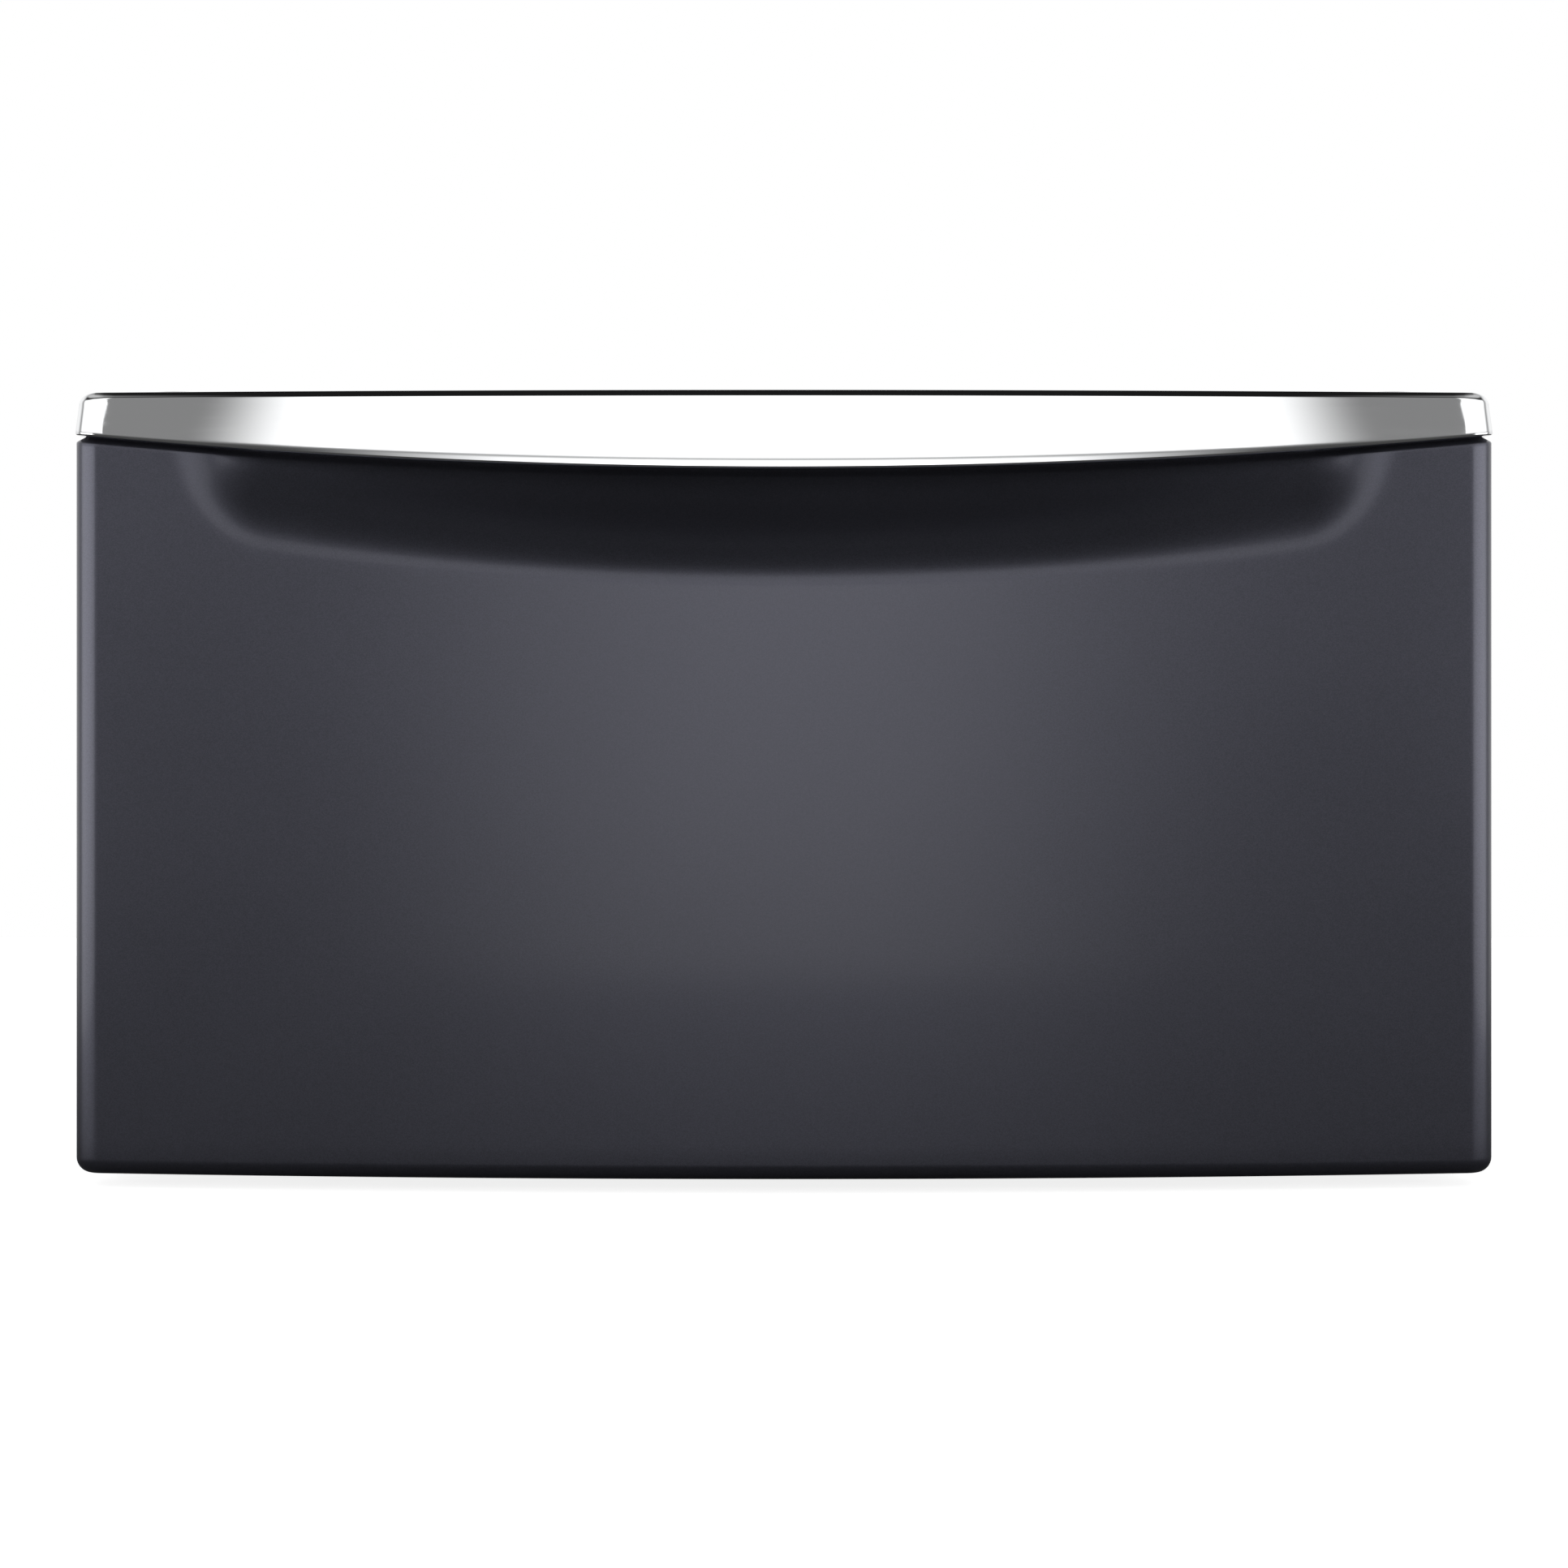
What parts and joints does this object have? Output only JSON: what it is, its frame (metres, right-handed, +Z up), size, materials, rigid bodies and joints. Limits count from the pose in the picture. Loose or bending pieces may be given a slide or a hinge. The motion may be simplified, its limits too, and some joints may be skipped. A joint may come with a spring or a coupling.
{
  "type": "laundry pedestal",
  "caption": "Low steel stand with a full-width storage drawer, a bowed painted front, a chrome bar handle over a finger scoop, and raised seats that a front-loading washer is bolted to.",
  "frame": {"origin": "on the floor, at the middle of the width and depth, with the levelling feet fully retracted", "axes": "+X to the right as seen from the front, +Y to the rear (the drawer opens along -Y), +Z up"},
  "size_m": [0.6864, 0.676, 0.3866],
  "materials": {
    "slate_paint": "metallic semi-gloss",
    "chrome": "polished",
    "black_plastic": "fine grain",
    "galvanised_steel": "spangled zinc",
    "slide_steel": "bright zinc, greased",
    "zinc_steel": "zinc plated",
    "rubber": "matte",
    "lever_plastic": "smooth",
    "divider_plastic": "fine grain"
  },
  "bodies": {
    "cabinet": {"base_rail_front": "galvanised_steel", "base_rail_left": "galvanised_steel", "base_rail_rear": "galvanised_steel", "base_rail_right": "galvanised_steel", "corner_post_front_left": "galvanised_steel", "corner_post_front_right": "galvanised_steel", "corner_post_rear_left": "galvanised_steel", "corner_post_rear_right": "galvanised_steel", "deck": "slate_paint", "deck_beam_front": "galvanised_steel", "deck_beam_rear": "galvanised_steel", "deck_screws": "zinc_steel", "drawer_bumpers": "rubber", "front_top_rail": "galvanised_steel", "rear_panel": "galvanised_steel", "rear_panel_screws": "zinc_steel", "side_panel_left": "slate_paint", "side_panel_right": "slate_paint", "slide_bracket_left": "galvanised_steel", "slide_bracket_right": "galvanised_steel", "slide_outer_left": "slide_steel", "slide_outer_right": "slide_steel", "slide_screws_cabinet": "zinc_steel", "weld_nuts": "zinc_steel"},
    "drawer": {"drawer_front_skin": "slate_paint", "handle": "chrome", "handle_carrier": "black_plastic", "handle_screws": "zinc_steel", "front_inner_panel": "galvanised_steel", "front_stiffeners": "galvanised_steel", "drawer_side_left": "galvanised_steel", "drawer_side_right": "galvanised_steel", "drawer_bottom": "galvanised_steel", "drawer_back": "galvanised_steel", "drawer_box_screws": "zinc_steel", "slide_inner_left": "slide_steel", "slide_inner_right": "slide_steel", "slide_screws_drawer": "zinc_steel"},
    "divider": {"drawer_divider": "divider_plastic"},
    "slide_middle_left": {"slide_middle_left": "slide_steel"},
    "ball_cage_outer_left": {"ball_cage_outer_left": "slide_steel"},
    "ball_cage_inner_left": {"ball_cage_inner_left": "slide_steel"},
    "release_lever_left": {"release_lever_left": "lever_plastic"},
    "slide_middle_right": {"slide_middle_right": "slide_steel"},
    "ball_cage_outer_right": {"ball_cage_outer_right": "slide_steel"},
    "ball_cage_inner_right": {"ball_cage_inner_right": "slide_steel"},
    "release_lever_right": {"release_lever_right": "lever_plastic"},
    "foot_pad_front_left": {"foot_pad_front_left": "rubber"},
    "foot_stud_front_left": {"foot_stud_front_left": "zinc_steel"},
    "jam_nut_front_left": {"jam_nut_front_left": "zinc_steel"},
    "foot_pad_front_right": {"foot_pad_front_right": "rubber"},
    "foot_stud_front_right": {"foot_stud_front_right": "zinc_steel"},
    "jam_nut_front_right": {"jam_nut_front_right": "zinc_steel"},
    "foot_pad_rear_left": {"foot_pad_rear_left": "rubber"},
    "foot_stud_rear_left": {"foot_stud_rear_left": "zinc_steel"},
    "jam_nut_rear_left": {"jam_nut_rear_left": "zinc_steel"},
    "foot_pad_rear_right": {"foot_pad_rear_right": "rubber"},
    "foot_stud_rear_right": {"foot_stud_rear_right": "zinc_steel"},
    "jam_nut_rear_right": {"jam_nut_rear_right": "zinc_steel"}
  },
  "joints": [
    {"name": "drawer_slide", "type": "slide", "parent": "cabinet", "child": "drawer", "axis": [0, -1, 0], "range_m": [0, 0.5]},
    {"name": "slide_middle_travel_left", "type": "slide", "parent": "cabinet", "child": "slide_middle_left", "axis": [0, -1, 0], "range_m": [0, 0.25]},
    {"name": "ball_cage_outer_travel_left", "type": "slide", "parent": "cabinet", "child": "ball_cage_outer_left", "axis": [0, -1, 0], "range_m": [0, 0.125]},
    {"name": "ball_cage_inner_travel_left", "type": "slide", "parent": "cabinet", "child": "ball_cage_inner_left", "axis": [0, -1, 0], "range_m": [0, 0.375]},
    {"name": "release_lever_press_left", "type": "hinge", "parent": "drawer", "child": "release_lever_left", "pos_m": [-0.2968, -0.04, 0.15], "axis": [1, 0, 0], "range_deg": [0, 4.5], "stiffness_Nm_per_rad": 0.05},
    {"name": "slide_middle_travel_right", "type": "slide", "parent": "cabinet", "child": "slide_middle_right", "axis": [0, -1, 0], "range_m": [0, 0.25]},
    {"name": "ball_cage_outer_travel_right", "type": "slide", "parent": "cabinet", "child": "ball_cage_outer_right", "axis": [0, -1, 0], "range_m": [0, 0.125]},
    {"name": "ball_cage_inner_travel_right", "type": "slide", "parent": "cabinet", "child": "ball_cage_inner_right", "axis": [0, -1, 0], "range_m": [0, 0.375]},
    {"name": "release_lever_press_right", "type": "hinge", "parent": "drawer", "child": "release_lever_right", "pos_m": [0.2968, -0.04, 0.15], "axis": [1, 0, 0], "range_deg": [0, 4.5], "stiffness_Nm_per_rad": 0.05},
    {"name": "divider_shift", "type": "slide", "parent": "drawer", "child": "divider", "axis": [0, 1, 0], "range_m": [-0.2, 0.2]},
    {"name": "foot_height_front_left", "type": "slide", "parent": "cabinet", "child": "foot_pad_front_left", "axis": [0, 0, -1], "range_m": [0, 0.015]},
    {"name": "foot_screw_front_left", "type": "hinge", "parent": "foot_pad_front_left", "child": "foot_stud_front_left", "pos_m": [-0.3, -0.23, 0.025], "axis": [0, 0, -1], "range_deg": [0, 3600]},
    {"name": "jam_nut_turn_front_left", "type": "hinge", "parent": "cabinet", "child": "jam_nut_front_left", "pos_m": [-0.3, -0.23, 0.0163], "axis": [0, 0, 1], "continuous": true},
    {"name": "foot_height_front_right", "type": "slide", "parent": "cabinet", "child": "foot_pad_front_right", "axis": [0, 0, -1], "range_m": [0, 0.015]},
    {"name": "foot_screw_front_right", "type": "hinge", "parent": "foot_pad_front_right", "child": "foot_stud_front_right", "pos_m": [0.3, -0.23, 0.025], "axis": [0, 0, -1], "range_deg": [0, 3600]},
    {"name": "jam_nut_turn_front_right", "type": "hinge", "parent": "cabinet", "child": "jam_nut_front_right", "pos_m": [0.3, -0.23, 0.0163], "axis": [0, 0, 1], "continuous": true},
    {"name": "foot_height_rear_left", "type": "slide", "parent": "cabinet", "child": "foot_pad_rear_left", "axis": [0, 0, -1], "range_m": [0, 0.015]},
    {"name": "foot_screw_rear_left", "type": "hinge", "parent": "foot_pad_rear_left", "child": "foot_stud_rear_left", "pos_m": [-0.3, 0.297, 0.025], "axis": [0, 0, -1], "range_deg": [0, 3600]},
    {"name": "jam_nut_turn_rear_left", "type": "hinge", "parent": "cabinet", "child": "jam_nut_rear_left", "pos_m": [-0.3, 0.297, 0.0163], "axis": [0, 0, 1], "continuous": true},
    {"name": "foot_height_rear_right", "type": "slide", "parent": "cabinet", "child": "foot_pad_rear_right", "axis": [0, 0, -1], "range_m": [0, 0.015]},
    {"name": "foot_screw_rear_right", "type": "hinge", "parent": "foot_pad_rear_right", "child": "foot_stud_rear_right", "pos_m": [0.3, 0.297, 0.025], "axis": [0, 0, -1], "range_deg": [0, 3600]},
    {"name": "jam_nut_turn_rear_right", "type": "hinge", "parent": "cabinet", "child": "jam_nut_rear_right", "pos_m": [0.3, 0.297, 0.0163], "axis": [0, 0, 1], "continuous": true}
  ],
  "couplings": [
    {"joint": "slide_middle_travel_left", "follows": "drawer_slide", "ratio": 0.5},
    {"joint": "ball_cage_outer_travel_left", "follows": "drawer_slide", "ratio": 0.25},
    {"joint": "ball_cage_inner_travel_left", "follows": "drawer_slide", "ratio": 0.75},
    {"joint": "slide_middle_travel_right", "follows": "drawer_slide", "ratio": 0.5},
    {"joint": "ball_cage_outer_travel_right", "follows": "drawer_slide", "ratio": 0.25},
    {"joint": "ball_cage_inner_travel_right", "follows": "drawer_slide", "ratio": 0.75},
    {"joint": "foot_screw_front_left", "follows": "foot_height_front_left", "rad_per_m": 4188.8},
    {"joint": "foot_screw_front_right", "follows": "foot_height_front_right", "rad_per_m": 4188.8},
    {"joint": "foot_screw_rear_left", "follows": "foot_height_rear_left", "rad_per_m": 4188.8},
    {"joint": "foot_screw_rear_right", "follows": "foot_height_rear_right", "rad_per_m": 4188.8}
  ]
}
